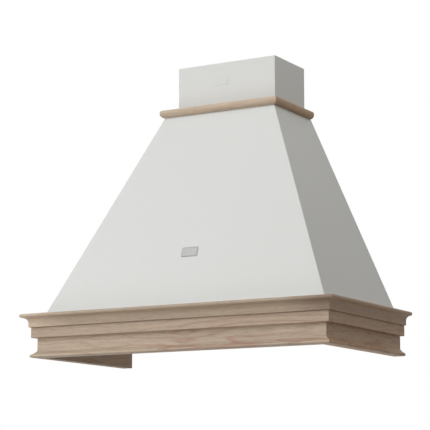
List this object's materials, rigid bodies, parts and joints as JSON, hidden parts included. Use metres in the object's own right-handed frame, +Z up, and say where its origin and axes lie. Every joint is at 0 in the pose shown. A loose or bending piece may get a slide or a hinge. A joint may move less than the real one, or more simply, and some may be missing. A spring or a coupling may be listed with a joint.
{
  "type": "range hood",
  "caption": "Wall-mounted range hood: tapering painted canopy and telescopic chimney, moulded wood cornice and collar, hinged grease filters, centrifugal blower and flapped duct spigot.",
  "frame": {"origin": "centre of the four wall holes, on the wall plane", "axes": "+X to the right along the wall, -Y out into the room, +Z up"},
  "size_m": [0.9, 0.46, 0.788],
  "materials": {
    "oak": "pale limed oak, matt lacquer",
    "cream_paint": "satin warm white powder coat",
    "galvanised": "zinc coated sheet",
    "stainless": "brushed stainless sheet",
    "alloy": "bare aluminium",
    "black_plastic": "fine texture",
    "lens_glass": "frosted",
    "lamp_casting": "die cast",
    "button_metal": "satin chrome",
    "grey_plastic": "moulded",
    "blower_plastic": "moulded, glass filled",
    "motor_casting": "die cast",
    "guard_wire": "zinc plated",
    "bright_steel": "ground",
    "plate_metal": "satin anodised",
    "screw_zinc": "zinc plated"
  },
  "bodies": {
    "hood": {"fascia_front": "oak", "fascia_left": "oak", "fascia_right": "oak", "band_front": "oak", "band_left": "oak", "band_right": "oak", "crown_front": "oak", "crown_left": "oak", "crown_right": "oak", "collar_front": "oak", "collar_left": "oak", "collar_right": "oak", "canopy_shell": "cream_paint", "base_frame": "galvanised", "back_panel": "galvanised", "lower_chimney": "cream_paint", "suction_panel": "stainless", "filter_hinge_ears": "stainless", "lamp_bezel_left": "stainless", "lamp_bezel_right": "stainless", "lamp_lens_left": "lens_glass", "lamp_lens_right": "lens_glass", "lamp_body_left": "lamp_casting", "lamp_body_right": "lamp_casting", "control_plate": "black_plastic", "control_housing": "grey_plastic", "scroll_left": "blower_plastic", "scroll_right": "blower_plastic", "motor_body": "motor_casting", "motor_bracket": "galvanised", "inlet_guard_left": "guard_wire", "inlet_guard_right": "guard_wire", "blower_mounts": "galvanised", "duct_spigot": "black_plastic", "flap_pin": "bright_steel", "junction_box": "grey_plastic", "junction_lid": "grey_plastic", "cable_gland": "black_plastic", "badge_canopy": "plate_metal", "badge_chimney": "plate_metal", "panel_screws": "screw_zinc", "cornice_screws": "screw_zinc"},
    "upper_chimney": {"upper_chimney": "cream_paint", "chimney_bracket": "galvanised"},
    "filter_left": {"filter_frame_left": "alloy", "filter_mesh_left": "alloy"},
    "filter_right": {"filter_frame_right": "alloy", "filter_mesh_right": "alloy"},
    "latch_left": {"filter_latch_left": "black_plastic"},
    "latch_right": {"filter_latch_right": "black_plastic"},
    "rotor": {"impeller": "black_plastic", "impeller_blades": "black_plastic", "motor_shaft": "bright_steel"},
    "flap_front": {"flap_front": "alloy"},
    "flap_rear": {"flap_rear": "alloy"},
    "button_light": {"button_light": "button_metal"},
    "button_stop": {"button_stop": "button_metal"},
    "button_speed_1": {"button_speed_1": "button_metal"},
    "button_speed_2": {"button_speed_2": "button_metal"},
    "button_speed_3": {"button_speed_3": "button_metal"}
  },
  "joints": [
    {"name": "chimney_slide", "type": "slide", "parent": "hood", "child": "upper_chimney", "axis": [0, 0, 1], "range_m": [0, 0.25]},
    {"name": "filter_left_hinge", "type": "hinge", "parent": "hood", "child": "filter_left", "pos_m": [-0.151, -0.0815, -0.2672], "axis": [1, 0, 0], "range_deg": [0, 80]},
    {"name": "latch_left_slide", "type": "slide", "parent": "filter_left", "child": "latch_left", "axis": [0, 1, 0], "range_m": [0, 0.006], "stiffness_N_per_m": 300, "springref_m": -0.002},
    {"name": "filter_right_hinge", "type": "hinge", "parent": "hood", "child": "filter_right", "pos_m": [0.151, -0.0815, -0.2672], "axis": [1, 0, 0], "range_deg": [0, 80]},
    {"name": "latch_right_slide", "type": "slide", "parent": "filter_right", "child": "latch_right", "axis": [0, 1, 0], "range_m": [0, 0.006], "stiffness_N_per_m": 300, "springref_m": -0.002},
    {"name": "button_light_press", "type": "slide", "parent": "hood", "child": "button_light", "axis": [0, 0, 1], "range_m": [0, 0.002], "stiffness_N_per_m": 500, "springref_m": -0.001},
    {"name": "button_stop_press", "type": "slide", "parent": "hood", "child": "button_stop", "axis": [0, 0, 1], "range_m": [0, 0.002], "stiffness_N_per_m": 500, "springref_m": -0.001},
    {"name": "button_speed_1_press", "type": "slide", "parent": "hood", "child": "button_speed_1", "axis": [0, 0, 1], "range_m": [0, 0.002], "stiffness_N_per_m": 500, "springref_m": -0.001},
    {"name": "button_speed_2_press", "type": "slide", "parent": "hood", "child": "button_speed_2", "axis": [0, 0, 1], "range_m": [0, 0.002], "stiffness_N_per_m": 500, "springref_m": -0.001},
    {"name": "button_speed_3_press", "type": "slide", "parent": "hood", "child": "button_speed_3", "axis": [0, 0, 1], "range_m": [0, 0.002], "stiffness_N_per_m": 500, "springref_m": -0.001},
    {"name": "impeller_spin", "type": "hinge", "parent": "hood", "child": "rotor", "pos_m": [0, -0.138, -0.068], "axis": [1, 0, 0], "continuous": true},
    {"name": "flap_front_hinge", "type": "hinge", "parent": "hood", "child": "flap_front", "pos_m": [0, -0.0835, 0.072], "axis": [-1, 0, 0], "range_deg": [0, 75]},
    {"name": "flap_rear_hinge", "type": "hinge", "parent": "hood", "child": "flap_rear", "pos_m": [0, -0.0835, 0.072], "axis": [1, 0, 0], "range_deg": [0, 75]}
  ]
}
